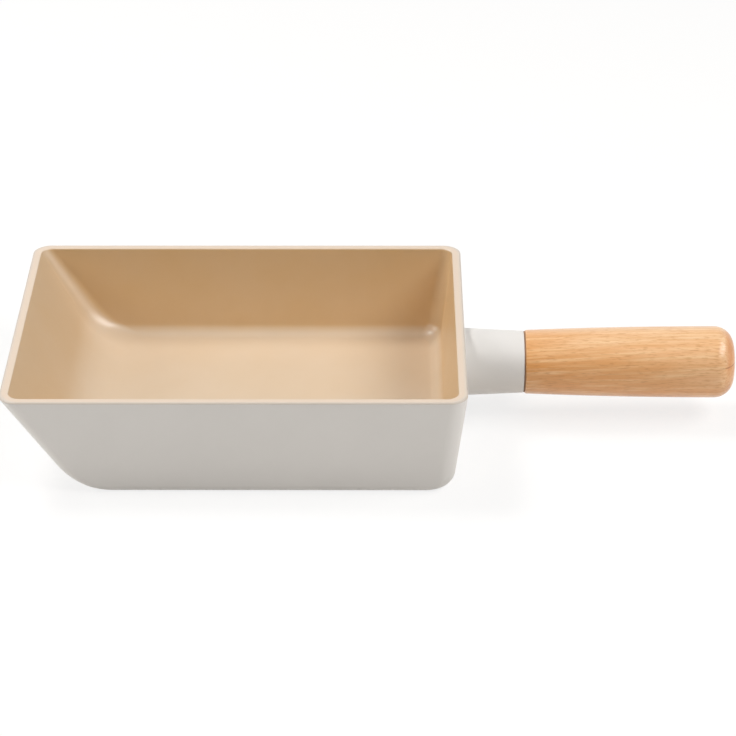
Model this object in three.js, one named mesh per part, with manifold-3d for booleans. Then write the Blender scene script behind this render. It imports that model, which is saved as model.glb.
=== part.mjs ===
// Rectangular omelette pan with one sloping end and a turned wooden grip.
// Millimetres, +Z up, +X towards the grip. The origin is the middle of the face it stands on.
import * as THREE from "three";
import { mergeVertices } from "three/addons/utils/BufferGeometryUtils.js";
import Module from "manifold-3d";

const wasm = await Module();
wasm.setup();

// Casting: the pan with its handle neck
const RIM_WIDTH = 150;
const RIM_LENGTH = 193.4;
const CASTING_HEIGHT = 45.4;
const FAR_WALL_LEAN = 33.15; // degrees from upright, outside
const FAR_WALL_LEAN_INSIDE = 32;
const NEAR_WALL_LEAN = 7.1;
const SIDE_WALL_LEAN = 6.5;
const FAR_BEND_RADIUS = 25; // where the wall turns into the base, outside
const NEAR_BEND_RADIUS = 7.8;
const SIDE_BEND_RADIUS = 3.5;
const FAR_BEND_RADIUS_INSIDE = 28;
const NEAR_BEND_RADIUS_INSIDE = 7;
const SIDE_BEND_RADIUS_INSIDE = 6.4;
const CORNER_RADIUS = 7.6; // seen from above, outside
const CORNER_RADIUS_INSIDE = 5.2; // at the rim
const FAR_FLOOR_CORNER_RADIUS = 11.5; // inside, at the floor
const NEAR_FLOOR_CORNER_RADIUS = 7;

// Rim and cooking surface
const RIM_THICKNESS = 3.9;
const FLOOR_THICKNESS = 4.2;
const RIM_OUTER_ROUND = 0.8;
const RIM_INNER_ROUND = 0.6;
const LINING_THICKNESS = 0.4;
const LINING_EDGE_ANGLE = 75; // degrees round the rim's outer rounding where the lining ends

// Handle neck
const NECK_AXIS_DROP = 20.3; // below the rim
const NECK_LENGTH = 26.1; // past the rim's outer edge
const NECK_END_DIAMETER = 26.9;
const NECK_ROOT_DIAMETER = 29.5; // at the wall
const NECK_ROOT_FILLET = 1.5;
const NECK_EMBED = 2; // how far the neck's root reaches into the wall
const NECK_END_BEVEL = 0.5;
const TENON_WALL = 2.1; // round the insert's bore, at its thinnest
const TENON_CORNER = 2;
const TENON_LENGTH = 10;

// Base plate
const PLATE_THICKNESS = 1;
const PLATE_PROUD = 0.2; // how far it stands below the casting
const PLATE_EDGE = 10; // from the plate to the edge of the flat base
const PLATE_HOLE_DIAMETER = 4;
const PLATE_HOLE_CIRCLES = 4;
const PLATE_HOLE_MARGIN = 6.84; // from the outer circle of holes to the plate's edge

// Grip
const GASKET_THICKNESS = 0.5;
const GASKET_INSET = 0.15; // its edge lies inside the neck's
const GRIP_LENGTH = 90.5;
const GRIP_FRONT_OVERHANG = 0.4; // its front edge stands outside the neck's
const GRIP_DIAMETER = 31;
const GRIP_END_ROUND = 8.3;
const GRIP_FRONT_BEVEL = 0.4;
const COUNTERBORE_CLEARANCE = 0.5; // round the widest washer or the head
const COUNTERBORE_BEVEL = 0.6;
const GRIP_END_LAND = 0.2; // flat left between that bevel and the end's rounding, at least

// Fastening: one long screw with its washers, and the insert that it turns into
const SCREW_DIAMETER = 5;
const SCREW_LENGTH = 50; // under the head
const SCREW_ENGAGEMENT = 9;
const SCREW_HEAD_DIAMETER = 9.4;
const SCREW_HEAD_HEIGHT = 3.4;
const SCREW_HEAD_CROWN = 1.2; // the part of the head's height that is domed
const SCREW_TIP_BEVEL = 0.8;
const CROSS_LENGTH = 5.2;
const CROSS_WIDTH = 1.2;
const CROSS_DEPTH = 1.9;
const INSERT_WALL = 1.3;
const INSERT_LENGTH = 12;
const INSERT_GROOVE = 0.5;
const FLAT_WASHER_DIAMETER = 10;
const FLAT_WASHER_THICKNESS = 1;
const SPRING_WASHER_DIAMETER = 9.2;
const SPRING_WASHER_THICKNESS = 1.2;
const SPRING_WASHER_GAP = 18; // degrees

// Clearances
const FIT_CLEARANCE = 0.3; // round and between pieces that slide together
const SCREW_HOLE_CLEARANCE = 0.6;
const BORE_END_CLEARANCE = 0.5;
const FACE_GAP = 0.05; // between faces that are clamped together
const BOND_GAP = 0.02; // between the casting and its lining

// How finely curves are cut into flats
const CORNER_STEPS = 6;
const BEND_STEPS = 5;
const LEAST_RING_STEP = 0.25;
const NECK_SIDES = 32;
const FILLET_STEPS = 3;
const ROUND_SIDES = 36;
const PLATE_SIDES = 72;
const SMALL_SIDES = 24;
const HOLE_SIDES = 8;
const SQUARE_CORNER_STEPS = 3;
const GRIP_STEPS = 8;
const CROWN_STEPS = 3;

const radians = THREE.MathUtils.degToRad;
const lerp = THREE.MathUtils.lerp;

// A closed mesh as a solid that can be joined and cut
function solidOf(geometry) {
  const bare = geometry.clone();
  bare.deleteAttribute("normal");
  bare.deleteAttribute("uv");
  const merged = mergeVertices(bare);
  const vertProperties = new Float32Array(merged.attributes.position.array);
  const triVerts = new Uint32Array(merged.index.array);
  return new wasm.Manifold(new wasm.Mesh({ numProp: 3, vertProperties, triVerts }));
}

function geometryOf(solid) {
  const mesh = solid.getMesh();
  const geometry = new THREE.BufferGeometry();
  geometry.setAttribute("position", new THREE.BufferAttribute(new Float32Array(mesh.vertProperties), 3));
  geometry.setIndex(new THREE.BufferAttribute(new Uint32Array(mesh.triVerts), 1));
  geometry.computeVertexNormals();
  return geometry;
}

// Rings of equal point counts, joined in order into one skin and closed flat at both ends
function loft(rings) {
  const count = rings[0].length;
  const geometry = new THREE.BufferGeometry().setFromPoints(rings.flat());
  const triangles = [];
  for (let level = 0; level + 1 < rings.length; level += 1) {
    for (let i = 0; i < count; i += 1) {
      const next = (i + 1) % count;
      const [a, b] = [level * count + i, level * count + next];
      const [c, d] = [a + count, b + count];
      triangles.push(a, b, d, a, d, c);
    }
  }
  const last = (rings.length - 1) * count;
  for (let i = 1; i + 1 < count; i += 1) {
    triangles.push(0, i + 1, i);
    triangles.push(last, last + i, last + i + 1);
  }
  geometry.setIndex(triangles);
  geometry.computeVertexNormals();
  return geometry;
}

// A turned piece: its outline as [distance along +X, radius] pairs, closed or ending on the axis
function turned(outline, sides) {
  const points = outline.map(([along, radius]) => new THREE.Vector2(radius, along));
  return new THREE.LatheGeometry(points, sides).rotateZ(-Math.PI / 2);
}

function roundBar(diameter, from, to, sides) {
  return turned([[from, 0], [from, diameter / 2], [to, diameter / 2], [to, 0]], sides);
}

// A flat outline pushed along +X
function extrudedAlongX(shape, from, length) {
  const geometry = new THREE.ExtrudeGeometry(shape, { depth: length, bevelEnabled: false });
  return geometry.rotateY(Math.PI / 2).translate(from, 0, 0);
}

// Points round a circle or a part of one
function arcPoints(x, y, radius, from, to, steps) {
  return Array.from({ length: steps + 1 }, (_, i) => {
    const angle = radians(lerp(from, to, i / steps));
    return new THREE.Vector2(x + radius * Math.cos(angle), y + radius * Math.sin(angle));
  });
}

function circlePoints(x, y, radius, sides) {
  return arcPoints(x, y, radius, 0, 360, sides).slice(0, -1);
}

// A square with round corners, anticlockwise
function roundedSquare(side, corner) {
  const middle = side / 2 - corner;
  const middles = [[middle, middle], [-middle, middle], [-middle, -middle], [middle, -middle]];
  return middles.flatMap(([x, y], quarter) => {
    return arcPoints(x, y, corner, 90 * quarter, 90 * (quarter + 1), SQUARE_CORNER_STEPS);
  });
}

// How far a wall has come in at a height above its foot: it leans in from the top, then bends to level
function wallInset(lean, bend, top, height) {
  const bendTop = bend * (1 - Math.sin(radians(lean)));
  if (height >= bendTop) return Math.tan(radians(lean)) * (top - height);
  const bendMiddle = Math.tan(radians(lean)) * (top - bendTop) + bend * Math.cos(radians(lean));
  return bendMiddle - Math.sqrt(bend ** 2 - (bend - height) ** 2);
}

// Heights of the rings that follow three bends at once, lowest first
function bendHeights(walls) {
  const heights = walls.flatMap(({ lean, bend }) => {
    const steps = Array.from({ length: BEND_STEPS + 1 }, (_, i) => i / BEND_STEPS);
    return steps.map((step) => bend * (1 - Math.cos(step * radians(90 - lean))));
  });
  heights.sort((a, b) => a - b);
  const kept = [0];
  for (const height of heights) {
    if (height - kept.at(-1) > LEAST_RING_STEP) kept.push(height);
  }
  return kept;
}

const outside = {
  far: { lean: FAR_WALL_LEAN, bend: FAR_BEND_RADIUS },
  near: { lean: NEAR_WALL_LEAN, bend: NEAR_BEND_RADIUS },
  side: { lean: SIDE_WALL_LEAN, bend: SIDE_BEND_RADIUS },
};
const inside = {
  far: { lean: FAR_WALL_LEAN_INSIDE, bend: FAR_BEND_RADIUS_INSIDE },
  near: { lean: NEAR_WALL_LEAN, bend: NEAR_BEND_RADIUS_INSIDE },
  side: { lean: SIDE_WALL_LEAN, bend: SIDE_BEND_RADIUS_INSIDE },
};
const outerTop = CASTING_HEIGHT - RIM_OUTER_ROUND;
const innerTop = CASTING_HEIGHT - FLOOR_THICKNESS - RIM_INNER_ROUND;

function insets(walls, top, height) {
  const inset = ({ lean, bend }) => wallInset(lean, bend, top, height);
  return { far: inset(walls.far), near: inset(walls.near), side: inset(walls.side) };
}

// The flat of the base is centred on the origin, so the rim's two ends follow from it
const baseInsets = insets(outside, outerTop, 0);
const baseLength = RIM_LENGTH - baseInsets.far - baseInsets.near;
const baseWidth = RIM_WIDTH - 2 * baseInsets.side;
const farRimX = -baseLength / 2 - baseInsets.far;
const nearRimX = baseLength / 2 + baseInsets.near;

// One level of the pan: a rectangle with round corners, anticlockwise seen from above
function ring(height, inset, corner) {
  const far = farRimX + inset.far + corner.far;
  const near = nearRimX - inset.near - corner.near;
  const side = RIM_WIDTH / 2 - inset.side;
  const middles = [
    [near, side - corner.near, corner.near], [far, side - corner.far, corner.far],
    [far, corner.far - side, corner.far], [near, corner.near - side, corner.near],
  ];
  const outline = middles.flatMap(([x, y, radius], quarter) => {
    return arcPoints(x, y, radius, 90 * quarter, 90 * (quarter + 1), CORNER_STEPS);
  });
  return outline.map(({ x, y }) => new THREE.Vector3(x, y, height));
}

const alike = (size) => ({ far: size, near: size, side: size });

// A level of the rim, the same distance in from its outer edge all round
function rimRing(height, inset) {
  const corner = lerp(CORNER_RADIUS, CORNER_RADIUS_INSIDE, inset / RIM_THICKNESS);
  return ring(height, alike(inset), alike(corner));
}

// A level on the rim's outer rounding, by its angle from the wall
function rimRoundRing(degrees) {
  const inset = RIM_OUTER_ROUND * (1 - Math.cos(radians(degrees)));
  const drop = RIM_OUTER_ROUND * (1 - Math.sin(radians(degrees)));
  return rimRing(CASTING_HEIGHT - drop, inset);
}

// The cooking surface from the rim down to the floor, or a skin lying a depth below it
function innerSkin(depth) {
  const rimTop = CASTING_HEIGHT - depth;
  const rounding = [0, 45, 90].map((degrees) => {
    const inset = RIM_THICKNESS - RIM_INNER_ROUND * (1 - Math.sin(radians(degrees)));
    const drop = RIM_INNER_ROUND * (1 - Math.cos(radians(degrees)));
    return rimRing(rimTop - drop, inset - depth);
  });
  const wall = bendHeights(Object.values(inside)).reverse().map((height) => {
    const inset = insets(inside, innerTop, height);
    const corner = {
      far: lerp(FAR_FLOOR_CORNER_RADIUS, CORNER_RADIUS_INSIDE, height / innerTop),
      near: lerp(NEAR_FLOOR_CORNER_RADIUS, CORNER_RADIUS_INSIDE, height / innerTop),
    };
    const shifted = {
      far: RIM_THICKNESS + inset.far - depth,
      near: RIM_THICKNESS + inset.near - depth,
      side: RIM_THICKNESS + inset.side - depth,
    };
    return ring(FLOOR_THICKNESS + height - depth, shifted, corner);
  });
  return [rimRing(rimTop, RIM_OUTER_ROUND), ...rounding, ...wall];
}

function panTub() {
  const wall = bendHeights(Object.values(outside)).map((height) => {
    return ring(height, insets(outside, outerTop, height), alike(CORNER_RADIUS));
  });
  const rounding = [0, 1 / 3, 2 / 3, 1].map((step) => rimRoundRing(lerp(0, LINING_EDGE_ANGLE, step)));
  return loft([...wall, ...rounding, ...innerSkin(LINING_THICKNESS + BOND_GAP)]);
}

function liningGeometry() {
  const underside = innerSkin(LINING_THICKNESS).reverse();
  const edge = [1 / 6, 1 / 2].map((step) => rimRoundRing(lerp(LINING_EDGE_ANGLE, 90, step)));
  return loft([...underside, ...edge, ...innerSkin(0)]);
}

// The neck is a plain cone from inside the wall to its flat end, with a fillet against the wall
const neckEndX = nearRimX + NECK_LENGTH;
const neckAxisZ = CASTING_HEIGHT - NECK_AXIS_DROP;

function neckRing(radius, along) {
  return circlePoints(0, neckAxisZ, radius, NECK_SIDES).map(({ x, y }) => new THREE.Vector3(along(y), x, y));
}

function neckGeometry() {
  const wallX = (height) => nearRimX - wallInset(NEAR_WALL_LEAN, NEAR_BEND_RADIUS, outerTop, height);
  const rootRadius = NECK_ROOT_DIAMETER / 2;
  const endRadius = NECK_END_DIAMETER / 2;
  const rings = [neckRing(rootRadius + NECK_ROOT_FILLET, (height) => wallX(height) - NECK_EMBED)];
  for (let i = 0; i <= FILLET_STEPS; i += 1) {
    const angle = (i / FILLET_STEPS) * radians(90);
    const out = NECK_ROOT_FILLET * (1 - Math.cos(angle));
    const radius = rootRadius + NECK_ROOT_FILLET * (1 - Math.sin(angle));
    rings.push(neckRing(radius, (height) => wallX(height) + out));
  }
  rings.push(neckRing(endRadius, () => neckEndX - NECK_END_BEVEL));
  rings.push(neckRing(endRadius - NECK_END_BEVEL, () => neckEndX));
  return loft(rings);
}

// Places along the handle's axis, from the neck's flat end
const gripFrontAt = GASKET_THICKNESS + 2 * FACE_GAP;
const screwTipAt = TENON_LENGTH - SCREW_ENGAGEMENT;
const headSeatAt = screwTipAt + SCREW_LENGTH;
const springWasherAt = headSeatAt - FACE_GAP - SPRING_WASHER_THICKNESS;
const flatWasherAt = springWasherAt - FACE_GAP - FLAT_WASHER_THICKNESS;
const counterboreFloorAt = flatWasherAt - FACE_GAP;
const insertAt = TENON_LENGTH - INSERT_LENGTH;
const insertBoreFloorAt = Math.min(insertAt, screwTipAt) - BORE_END_CLEARANCE;

// Sizes that follow from what goes through or into a piece
const threadClear = SCREW_DIAMETER / 2 + FIT_CLEARANCE;
const insertRadius = threadClear + INSERT_WALL;
const insertBoreDiameter = 2 * (insertRadius + FIT_CLEARANCE);
const tenonSide = insertBoreDiameter + 2 * TENON_WALL;
const socketSide = tenonSide + 2 * FIT_CLEARANCE;
const socketCorner = TENON_CORNER + FIT_CLEARANCE;
const gasketDiameter = NECK_END_DIAMETER - 2 * GASKET_INSET;
const gripFrontDiameter = NECK_END_DIAMETER + 2 * GRIP_FRONT_OVERHANG;
const widestUnderHead = Math.max(FLAT_WASHER_DIAMETER, SPRING_WASHER_DIAMETER, SCREW_HEAD_DIAMETER);
const counterboreDiameter = widestUnderHead + 2 * COUNTERBORE_CLEARANCE;
const plateDiameter = Math.min(baseLength, baseWidth) - 2 * PLATE_EDGE;

function panBodyGeometry() {
  const tenonShape = new THREE.Shape(roundedSquare(tenonSide, TENON_CORNER));
  const tenon = extrudedAlongX(tenonShape, -NECK_EMBED, TENON_LENGTH + NECK_EMBED);
  const boreEnd = TENON_LENGTH + BORE_END_CLEARANCE;
  const bore = roundBar(insertBoreDiameter, insertBoreFloorAt, boreEnd, SMALL_SIDES);
  for (const shape of [tenon, bore]) shape.translate(neckEndX, 0, neckAxisZ);
  const pocketRadius = plateDiameter / 2 + FIT_CLEARANCE;
  const pocketTop = PLATE_THICKNESS - PLATE_PROUD + FACE_GAP;
  const pocket = new THREE.CylinderGeometry(pocketRadius, pocketRadius, 2 * pocketTop, PLATE_SIDES);
  pocket.rotateX(Math.PI / 2);
  const joined = solidOf(panTub()).add(solidOf(neckGeometry())).add(solidOf(tenon));
  return geometryOf(joined.subtract(solidOf(bore)).subtract(solidOf(pocket)));
}

// Holes stand on circles round a solid middle, six more on each circle than on the one inside it
function plateGeometry() {
  const radius = plateDiameter / 2;
  const pitch = (radius - PLATE_HOLE_MARGIN) / PLATE_HOLE_CIRCLES;
  const shape = new THREE.Shape(circlePoints(0, 0, radius, PLATE_SIDES));
  for (let circle = 1; circle <= PLATE_HOLE_CIRCLES; circle += 1) {
    for (const middle of circlePoints(0, 0, circle * pitch, 6 * circle)) {
      shape.holes.push(new THREE.Path(circlePoints(middle.x, middle.y, PLATE_HOLE_DIAMETER / 2, HOLE_SIDES)));
    }
  }
  return new THREE.ExtrudeGeometry(shape, { depth: PLATE_THICKNESS, bevelEnabled: false });
}

function gasketGeometry() {
  const shape = new THREE.Shape(circlePoints(0, 0, gasketDiameter / 2, ROUND_SIDES));
  shape.holes.push(new THREE.Path(roundedSquare(socketSide, socketCorner)));
  return extrudedAlongX(shape, 0, GASKET_THICKNESS);
}

function gripGeometry() {
  const holeRadius = SCREW_DIAMETER / 2 + SCREW_HOLE_CLEARANCE;
  const boreRadius = counterboreDiameter / 2;
  const frontRadius = gripFrontDiameter / 2;
  const fullRadius = GRIP_DIAMETER / 2;
  const endWall = fullRadius - boreRadius - COUNTERBORE_BEVEL - GRIP_END_LAND;
  const endRound = Math.min(GRIP_END_ROUND, endWall);
  const roundStart = GRIP_LENGTH - endRound;
  const outline = [[0, holeRadius], [0, frontRadius - GRIP_FRONT_BEVEL]];
  for (let i = 0; i <= GRIP_STEPS; i += 1) {
    const step = i / GRIP_STEPS;
    const swell = 1 - (1 - step) ** 2;
    outline.push([lerp(GRIP_FRONT_BEVEL, roundStart, step), lerp(frontRadius, fullRadius, swell)]);
  }
  for (let i = 1; i <= GRIP_STEPS; i += 1) {
    const angle = (i / GRIP_STEPS) * radians(90);
    outline.push([roundStart + endRound * Math.sin(angle), fullRadius - endRound * (1 - Math.cos(angle))]);
  }
  outline.push([GRIP_LENGTH, boreRadius + COUNTERBORE_BEVEL]);
  outline.push([GRIP_LENGTH - COUNTERBORE_BEVEL, boreRadius]);
  outline.push([counterboreFloorAt - gripFrontAt, boreRadius]);
  outline.push([counterboreFloorAt - gripFrontAt, holeRadius]);
  outline.push(outline[0]);
  const socketEnd = TENON_LENGTH - gripFrontAt + BORE_END_CLEARANCE;
  const socketShape = new THREE.Shape(roundedSquare(socketSide, socketCorner));
  const socket = extrudedAlongX(socketShape, -BORE_END_CLEARANCE, socketEnd + BORE_END_CLEARANCE);
  return geometryOf(solidOf(turned(outline, ROUND_SIDES)).subtract(solidOf(socket)));
}

function insertGeometry() {
  const groove = insertRadius - INSERT_GROOVE;
  const third = INSERT_LENGTH / 3;
  const outline = [
    [0, threadClear], [0, insertRadius], [third, insertRadius], [third, groove], [2 * third, groove],
    [2 * third, insertRadius], [INSERT_LENGTH, insertRadius], [INSERT_LENGTH, threadClear], [0, threadClear],
  ];
  return turned(outline, SMALL_SIDES);
}

function flatWasherGeometry() {
  const outer = FLAT_WASHER_DIAMETER / 2;
  const thick = FLAT_WASHER_THICKNESS;
  const outline = [[0, threadClear], [0, outer], [thick, outer], [thick, threadClear], [0, threadClear]];
  return turned(outline, SMALL_SIDES);
}

function springWasherGeometry() {
  const gap = SPRING_WASHER_GAP / 2;
  const outer = arcPoints(0, 0, SPRING_WASHER_DIAMETER / 2, gap, 360 - gap, SMALL_SIDES);
  const inner = arcPoints(0, 0, threadClear, 360 - gap, gap, SMALL_SIDES);
  return extrudedAlongX(new THREE.Shape([...outer, ...inner]), 0, SPRING_WASHER_THICKNESS);
}

function screwGeometry() {
  const shank = SCREW_DIAMETER / 2;
  const head = SCREW_HEAD_DIAMETER / 2;
  const crownAt = SCREW_HEAD_HEIGHT - SCREW_HEAD_CROWN;
  const outline = [
    [-SCREW_LENGTH, 0], [-SCREW_LENGTH, shank - SCREW_TIP_BEVEL], [SCREW_TIP_BEVEL - SCREW_LENGTH, shank],
    [0, shank], [0, head], [crownAt, head],
  ];
  for (let i = 1; i <= CROWN_STEPS; i += 1) {
    const angle = (i / CROWN_STEPS) * radians(90);
    const along = crownAt + SCREW_HEAD_CROWN * Math.sin(angle);
    outline.push([along, head - SCREW_HEAD_CROWN * (1 - Math.cos(angle))]);
  }
  outline.push([SCREW_HEAD_HEIGHT, 0]);
  const slotX = SCREW_HEAD_HEIGHT + CROSS_DEPTH / 2;
  const slots = [[CROSS_LENGTH, CROSS_WIDTH], [CROSS_WIDTH, CROSS_LENGTH]].map(([y, z]) => {
    return solidOf(new THREE.BoxGeometry(3 * CROSS_DEPTH, y, z).translate(slotX, 0, 0));
  });
  return geometryOf(solidOf(turned(outline, SMALL_SIDES)).subtract(slots[0].add(slots[1])));
}

// One named piece, placed along +X
function piece(name, geometry, along, colour, roughness, metalness) {
  const material = new THREE.MeshStandardMaterial({ color: colour, roughness, metalness });
  const mesh = new THREE.Mesh(geometry, material);
  mesh.name = name;
  mesh.position.x = along;
  return mesh;
}

const casting = new THREE.Group();
casting.position.z = PLATE_PROUD;
casting.add(
  piece("pan_body", panBodyGeometry(), 0, 0xd9d6d0, 0.45, 0),
  piece("ceramic_lining", liningGeometry(), 0, 0xe6cfb3, 0.3, 0),
);

const handle = new THREE.Group();
handle.position.set(neckEndX, 0, neckAxisZ);
handle.add(
  piece("threaded_insert", insertGeometry(), insertAt, 0xb9b4a6, 0.35, 1),
  piece("grip_gasket", gasketGeometry(), FACE_GAP, 0x2e2a27, 0.8, 0),
  piece("wooden_grip", gripGeometry(), gripFrontAt, 0xe0b07a, 0.5, 0),
  piece("flat_washer", flatWasherGeometry(), flatWasherAt, 0xc4c4c2, 0.3, 1),
  piece("spring_washer", springWasherGeometry(), springWasherAt, 0x9a9a98, 0.35, 1),
  piece("handle_screw", screwGeometry(), headSeatAt, 0xbfc0bf, 0.28, 1),
);
casting.add(handle);

const pan = new THREE.Group();
pan.add(casting, piece("induction_plate", plateGeometry(), 0, 0xb8b9ba, 0.35, 1));

export default pan;
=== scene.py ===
# Rectangular omelette pan with a turned wooden grip: its surfaces, finishes, studio and camera.
# Metres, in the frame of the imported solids: +Z up, +X towards the grip.
import math
from collections import namedtuple

import bmesh
import bpy
from mathutils import Matrix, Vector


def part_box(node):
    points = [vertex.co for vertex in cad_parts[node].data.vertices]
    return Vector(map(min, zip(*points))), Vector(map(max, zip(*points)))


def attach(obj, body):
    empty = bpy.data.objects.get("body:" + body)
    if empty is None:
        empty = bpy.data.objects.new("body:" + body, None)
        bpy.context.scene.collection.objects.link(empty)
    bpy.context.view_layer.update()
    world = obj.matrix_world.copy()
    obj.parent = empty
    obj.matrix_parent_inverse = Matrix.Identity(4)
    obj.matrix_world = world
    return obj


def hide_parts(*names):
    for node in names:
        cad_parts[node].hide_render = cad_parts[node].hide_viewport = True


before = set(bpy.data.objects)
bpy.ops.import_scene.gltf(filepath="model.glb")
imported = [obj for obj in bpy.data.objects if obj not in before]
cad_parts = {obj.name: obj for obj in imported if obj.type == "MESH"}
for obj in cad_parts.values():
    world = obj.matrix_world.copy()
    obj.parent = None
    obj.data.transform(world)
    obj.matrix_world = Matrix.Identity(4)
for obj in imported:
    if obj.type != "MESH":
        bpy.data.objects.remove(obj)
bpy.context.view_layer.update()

BODY_LOW, BODY_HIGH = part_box("pan_body")
PLATE_LOW, PLATE_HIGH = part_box("induction_plate")
GASKET_LOW, GASKET_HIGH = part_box("grip_gasket")
GRIP_LOW, GRIP_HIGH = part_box("wooden_grip")

# Casting: the rim, the walls and the bends that turn them into the base
RIM_LENGTH = 0.1934
RIM_THICKNESS = 0.0039
FLOOR_THICKNESS = 0.0042
FAR_LEAN, FAR_BEND = math.radians(33.15), 0.025
NEAR_LEAN, NEAR_BEND = math.radians(7.1), 0.0078
SIDE_LEAN, SIDE_BEND = math.radians(6.5), 0.0035
FAR_LEAN_INSIDE, FAR_BEND_INSIDE = math.radians(32), 0.028
NEAR_BEND_INSIDE = 0.007
SIDE_BEND_INSIDE = 0.0064
CORNER = 0.0076
CORNER_INSIDE = 0.0052
FAR_FLOOR_CORNER = 0.0115
NEAR_FLOOR_CORNER = 0.007
RIM_OUTER_ROUND = 0.0008
RIM_INNER_ROUND = 0.0006
COAT_THICKNESS = 0.00034
COAT_LEDGE = 0.0006
COAT_EDGE_ANGLE = 75  # degrees round the rim's outer rounding where the inner coat ends

# Neck: a plain cone with a small fillet against the wall
NECK_ROOT_RADIUS = 0.01475
NECK_ROOT_FILLET = 0.0015
NECK_END_RADIUS = 0.01345
NECK_END_BEVEL = 0.0005
NECK_SINK = 0.0022
TENON_SIDE = 0.013
TENON_CORNER = 0.002
TENON_LENGTH = 0.010
INSERT_BORE_RADIUS = 0.0044
INSERT_BORE_DEPTH = 0.0125

# Grip
GRIP_END_ROUND = 0.0083
GRIP_FRONT_RADIUS = 0.01385
GRIP_FRONT_BEVEL = 0.0004
BORE_RADIUS = 0.0055
BORE_BEVEL = 0.0006
SCREW_HOLE_RADIUS = 0.0031
SOCKET_CLEARANCE = 0.0003

# Base plate
PLATE_POCKET_GAP = 0.0003
PLATE_EDGE_BEVEL = 0.0003
STUD_RADIUS = 0.002
STUD_CIRCLES = 4
STUD_MARGIN = 0.00684
STUD_DISH = 0.00012

# How finely curves are cut
CORNER_STEPS = 12
BEND_STEPS = 12
HIDDEN_BEND_STEPS = 4
LEAST_RING_STEP = 0.00008
ROUND_SIDES = 96
SMALL_SIDES = 24

# Camera, fitted to the outline of the pan
CAMERA_LENS = 141.75
CAMERA_ELEVATION = math.radians(28)
CAMERA_TURN = math.radians(0.3035)
CAMERA_ROLL = math.radians(-0.1078)
CAMERA_BEFORE_RIM = 0.03564  # towards the far end from the near rim
CAMERA_AWAY = 1.1156
CAMERA_ABOVE_RIM = 0.5697

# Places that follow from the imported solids
FAR_RIM = BODY_LOW[0]
NEAR_RIM = FAR_RIM + RIM_LENGTH
HALF_WIDTH = BODY_HIGH[1]
BASE = BODY_LOW[2]
RIM_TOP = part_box("ceramic_lining")[1][2]
INNER_FLOOR = BASE + FLOOR_THICKNESS
AXIS_HEIGHT = (GRIP_LOW[2] + GRIP_HIGH[2]) / 2
NECK_END = GASKET_LOW[0] - 0.00005
GRIP_RADIUS = (GRIP_HIGH[2] - GRIP_LOW[2]) / 2
BORE_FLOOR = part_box("flat_washer")[0][0] - 0.00005
CAMERA_PLACE = (NEAR_RIM - CAMERA_BEFORE_RIM, -CAMERA_AWAY, RIM_TOP + CAMERA_ABOVE_RIM)

# One level of a shell with round corners: where its four sides lie, and its corners' radii at either end
Level = namedtuple("Level", "height far near side far_corner near_corner")


# Small tools of the modelling bench

def clear_selection():
    if bpy.context.object and bpy.context.object.mode != "OBJECT":
        bpy.ops.object.mode_set(mode="OBJECT")
    bpy.ops.object.select_all(action="DESELECT")


def take_up(piece):
    clear_selection()
    piece.select_set(True)
    bpy.context.view_layer.objects.active = piece


def edit(piece):
    take_up(piece)
    bpy.ops.object.mode_set(mode="EDIT")
    bpy.ops.mesh.select_mode(type="VERT")


def settle(piece):
    take_up(piece)
    bpy.ops.object.transform_apply(location=True, rotation=True, scale=True)


def picked(piece):
    mesh = bmesh.from_edit_mesh(piece.data)
    mesh.verts.index_update()
    return [vertex.index for vertex in mesh.verts if vertex.select]


def pick(piece, indices):
    bpy.ops.mesh.select_all(action="DESELECT")
    mesh = bmesh.from_edit_mesh(piece.data)
    mesh.verts.ensure_lookup_table()
    for index in indices:
        mesh.verts[index].select = True
    mesh.select_flush(True)
    bmesh.update_edit_mesh(piece.data)


def pick_edges(piece, test):
    bpy.ops.mesh.select_mode(type="EDGE")
    bpy.ops.mesh.select_all(action="DESELECT")
    mesh = bmesh.from_edit_mesh(piece.data)
    for edge in mesh.edges:
        edge.select = test(edge)
    mesh.select_flush(True)
    bmesh.update_edit_mesh(piece.data)


def apply_modifier(piece, kind, **settings):
    take_up(piece)
    modifier = piece.modifiers.new(kind.lower(), kind)
    for name, value in settings.items():
        setattr(modifier, name, value)
    bpy.ops.object.modifier_apply(modifier=modifier.name)


def join_shapes(piece, other, operation):
    apply_modifier(piece, "BOOLEAN", object=other, operation=operation, solver="EXACT")
    take_up(other)
    bpy.ops.object.delete()


def clean_up(piece, smooth_angle):
    edit(piece)
    bpy.ops.mesh.select_all(action="SELECT")
    bpy.ops.mesh.remove_doubles(threshold=0.000002)
    bpy.ops.mesh.normals_make_consistent(inside=False)
    take_up(piece)
    bpy.ops.object.shade_smooth_by_angle(angle=math.radians(smooth_angle))


def put_in_place(piece, slot, material, *nodes):
    settle(piece)
    piece.data.materials.clear()
    piece.data.materials.append(material)
    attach(piece, "root")
    if nodes:
        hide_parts(*nodes)


# Shells that are drawn up level by level from a rounded rectangle

def start_outline(name, level):
    clear_selection()
    middle = ((level.far + level.near) / 2, 0, level.height)
    bpy.ops.mesh.primitive_plane_add(size=1, location=middle)
    piece = bpy.context.object
    piece.name = name
    bpy.ops.transform.resize(value=(level.near - level.far, 2 * level.side, 1))
    settle(piece)
    edit(piece)
    bpy.ops.mesh.select_all(action="SELECT")
    bpy.ops.mesh.bevel(offset=level.far_corner, segments=CORNER_STEPS, affect="VERTICES", profile=0.5)
    bpy.ops.mesh.delete(type="ONLY_FACE")
    edit(piece)
    bpy.ops.mesh.select_all(action="SELECT")
    return piece


def corner_of(level, at_near_end, at_back):
    radius = level.near_corner if at_near_end else level.far_corner
    x = level.near - radius if at_near_end else level.far + radius
    y = level.side - radius
    return radius, (x, y if at_back else -y)


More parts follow.
